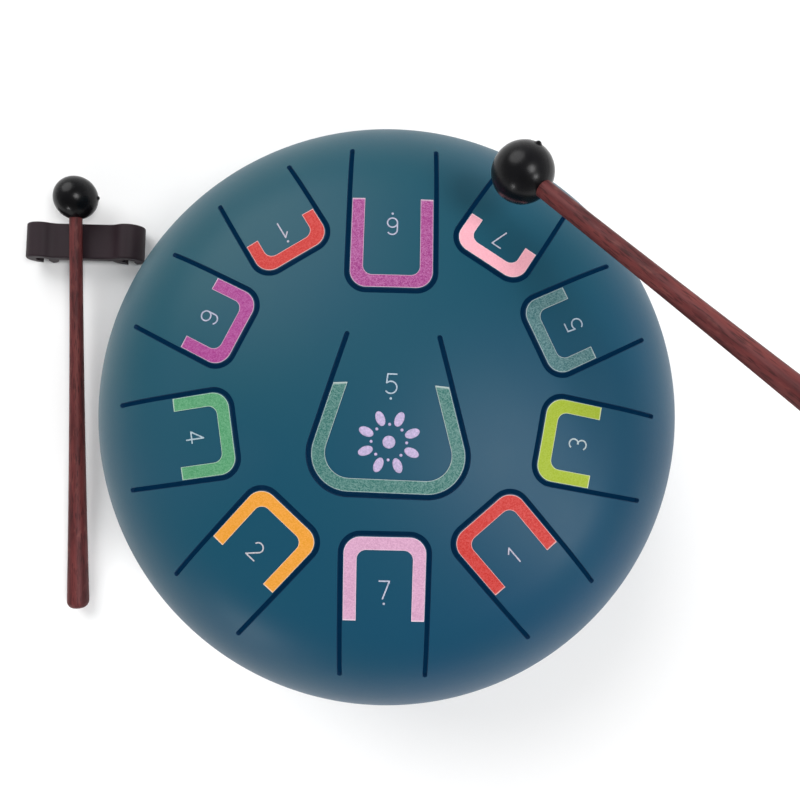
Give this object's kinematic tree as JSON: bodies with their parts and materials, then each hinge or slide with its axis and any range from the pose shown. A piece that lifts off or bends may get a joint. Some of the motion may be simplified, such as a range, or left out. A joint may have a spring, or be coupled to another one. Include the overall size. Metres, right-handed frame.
{
  "type": "steel tongue drum with mallets",
  "caption": "Round two-bowl steel drum with sprung tongues cut in its top, coloured edge stickers and printed figures, rubber feet, two rubber-headed mallets and a clip holder.",
  "frame": {"origin": "centre of the circle that the three feet stand on, in the plane of the table and on the drum's axis", "axes": "+Z up along the drum's axis; +Y from the drum's centre towards the ring tongue low_6, which is also the centre tongue's root side; +X to the right seen from above with +Y up"},
  "size_m": [0.2945, 0.2008, 0.2032],
  "materials": {
    "drum_paint": "satin blue-teal paint",
    "foot_rubber": "matte moulded rubber",
    "mallet_rubber": "smooth black rubber with a slight sheen",
    "mallet_wood": "oiled dark red-brown hardwood",
    "holder_plastic": "matte dark brown moulded plastic",
    "figure_ink": "thin pale print",
    "rosette_ink": "lilac print",
    "sticker_sea_green": "vinyl film with a fine glitter grain",
    "sticker_magenta": "vinyl film with a fine glitter grain",
    "sticker_rose": "vinyl film with a fine glitter grain",
    "sticker_red": "vinyl film with a fine glitter grain",
    "sticker_orange": "vinyl film with a fine glitter grain",
    "sticker_lime": "vinyl film with a fine glitter grain",
    "sticker_green": "vinyl film with a fine glitter grain",
    "sticker_grey_teal": "vinyl film with a fine glitter grain",
    "sticker_plum": "vinyl film with a fine glitter grain",
    "sticker_coral": "vinyl film with a fine glitter grain",
    "sticker_blush": "vinyl film with a fine glitter grain"
  },
  "bodies": {
    "drum": {"upper_bowl": "drum_paint", "lower_bowl": "drum_paint", "seam_weld": "drum_paint", "foot_1": "foot_rubber", "foot_2": "foot_rubber", "foot_3": "foot_rubber"},
    "tongue_low_5": {"tongue_low_5": "drum_paint", "sticker_low_5": "sticker_sea_green", "figure_low_5": "figure_ink", "rosette": "rosette_ink"},
    "tongue_low_6": {"tongue_low_6": "drum_paint", "sticker_low_6": "sticker_magenta", "figure_low_6": "figure_ink"},
    "tongue_low_7": {"tongue_low_7": "drum_paint", "sticker_low_7": "sticker_rose", "figure_low_7": "figure_ink"},
    "tongue_1": {"tongue_1": "drum_paint", "sticker_1": "sticker_red", "figure_1": "figure_ink"},
    "tongue_2": {"tongue_2": "drum_paint", "sticker_2": "sticker_orange", "figure_2": "figure_ink"},
    "tongue_3": {"tongue_3": "drum_paint", "sticker_3": "sticker_lime", "figure_3": "figure_ink"},
    "tongue_4": {"tongue_4": "drum_paint", "sticker_4": "sticker_green", "figure_4": "figure_ink"},
    "tongue_5": {"tongue_5": "drum_paint", "sticker_5": "sticker_grey_teal", "figure_5": "figure_ink"},
    "tongue_6": {"tongue_6": "drum_paint", "sticker_6": "sticker_plum", "figure_6": "figure_ink"},
    "tongue_7": {"tongue_7": "drum_paint", "sticker_7": "sticker_blush", "figure_7": "figure_ink"},
    "tongue_high_1": {"tongue_high_1": "drum_paint", "sticker_high_1": "sticker_coral", "figure_high_1": "figure_ink"},
    "holder": {"mallet_holder": "holder_plastic"},
    "mallet_1": {"mallet_1_head": "mallet_rubber", "mallet_1_shaft": "mallet_wood"},
    "mallet_2": {"mallet_2_head": "mallet_rubber", "mallet_2_shaft": "mallet_wood"}
  },
  "joints": [
    {"name": "tongue_low_5_flex", "type": "hinge", "parent": "drum", "child": "tongue_low_5", "pos_m": [0.00131, 0.02138, 0.11018], "axis": [-0.9998, 0.0192, 0], "range_deg": [-0.4, 0.4], "stiffness_Nm_per_rad": 2.71, "springref_deg": 0.11},
    {"name": "tongue_low_6_flex", "type": "hinge", "parent": "drum", "child": "tongue_low_6", "pos_m": [0.0002, 0.08292, 0.0931], "axis": [-1, 0, 0], "range_deg": [-0.4, 0.4], "stiffness_Nm_per_rad": 2, "springref_deg": 0.1},
    {"name": "tongue_low_7_flex", "type": "hinge", "parent": "drum", "child": "tongue_low_7", "pos_m": [0.0003, -0.08296, 0.09307], "axis": [1, 0, 0], "range_deg": [-0.4, 0.4], "stiffness_Nm_per_rad": 1.6, "springref_deg": 0.1},
    {"name": "tongue_1_flex", "type": "hinge", "parent": "drum", "child": "tongue_1", "pos_m": [0.05543, -0.06172, 0.09308], "axis": [0.7431, 0.6691, 0], "range_deg": [-0.4, 0.4], "stiffness_Nm_per_rad": 1.24, "springref_deg": 0.11},
    {"name": "tongue_2_flex", "type": "hinge", "parent": "drum", "child": "tongue_2", "pos_m": [-0.05476, -0.06231, 0.09308], "axis": [0.7431, -0.6691, 0], "range_deg": [-0.4, 0.4], "stiffness_Nm_per_rad": 1.24, "springref_deg": 0.11},
    {"name": "tongue_3_flex", "type": "hinge", "parent": "drum", "child": "tongue_3", "pos_m": [0.08173, -0.01405, 0.0931], "axis": [0.1599, 0.9871, 0], "range_deg": [-0.4, 0.4], "stiffness_Nm_per_rad": 0.891, "springref_deg": 0.13},
    {"name": "tongue_4_flex", "type": "hinge", "parent": "drum", "child": "tongue_4", "pos_m": [-0.08168, -0.01444, 0.09309], "axis": [0.1599, -0.9871, 0], "range_deg": [-0.4, 0.4], "stiffness_Nm_per_rad": 0.906, "springref_deg": 0.12},
    {"name": "tongue_5_flex", "type": "hinge", "parent": "drum", "child": "tongue_5", "pos_m": [0.07504, 0.03548, 0.09305], "axis": [-0.4415, 0.8973, 0], "range_deg": [-0.4, 0.4], "stiffness_Nm_per_rad": 0.728, "springref_deg": 0.13},
    {"name": "tongue_6_flex", "type": "hinge", "parent": "drum", "child": "tongue_6", "pos_m": [-0.07492, 0.03575, 0.09304], "axis": [-0.4415, -0.8973, 0], "range_deg": [-0.4, 0.4], "stiffness_Nm_per_rad": 0.738, "springref_deg": 0.13},
    {"name": "tongue_7_flex", "type": "hinge", "parent": "drum", "child": "tongue_7", "pos_m": [0.04467, 0.07, 0.09302], "axis": [-0.8462, 0.5329, 0], "range_deg": [-0.4, 0.4], "stiffness_Nm_per_rad": 0.515, "springref_deg": 0.15},
    {"name": "tongue_high_1_flex", "type": "hinge", "parent": "drum", "child": "tongue_high_1", "pos_m": [-0.04442, 0.07016, 0.09302], "axis": [-0.8462, -0.5329, 0], "range_deg": [-0.4, 0.4], "stiffness_Nm_per_rad": 0.51, "springref_deg": 0.15},
    {"name": "holder_lift", "type": "slide", "parent": "drum", "child": "holder", "axis": [0, 0, 1], "range_m": [0, 0.08]},
    {"name": "mallet_1_lift", "type": "slide", "parent": "holder", "child": "mallet_1", "axis": [0, 0, 1], "range_m": [0, 0.1]},
    {"name": "mallet_2_strike", "type": "hinge", "parent": "drum", "child": "mallet_2", "pos_m": [0.13273, -0.04136, 0.19612], "axis": [0.7431, 0.6691, 0], "range_deg": [-6.5, 30]}
  ]
}
